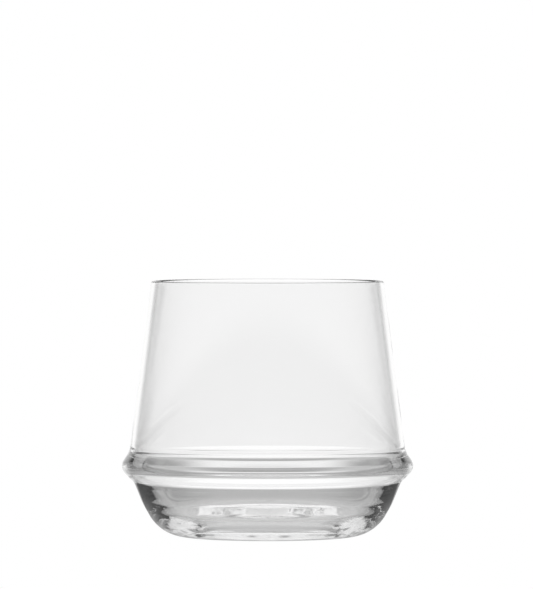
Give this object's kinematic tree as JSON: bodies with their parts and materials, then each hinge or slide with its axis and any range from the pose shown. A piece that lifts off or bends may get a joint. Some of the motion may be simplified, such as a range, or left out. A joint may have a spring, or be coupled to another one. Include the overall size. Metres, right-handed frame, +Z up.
{
  "type": "whiskey tumbler",
  "caption": "Squat clear-glass whiskey tumbler with a tapered thin wall, a raised waist ring and a rounded heavy bowl, for holding spirits and ice.",
  "frame": {"origin": "centre of the resting plane, on the axis of revolution", "axes": "+Z up along the axis of revolution, from the base to the mouth; +X and +Y are free, because the tumbler is round"},
  "size_m": [0.1002, 0.1002, 0.088],
  "materials": {
    "clear_glass": "fire-polished clear soda-lime or lead-free crystal glass"
  },
  "bodies": {
    "root": {"lip": "clear_glass", "upper_wall": "clear_glass", "waist_ring": "clear_glass", "lower_bowl": "clear_glass", "base": "clear_glass"}
  },
  "joints": []
}
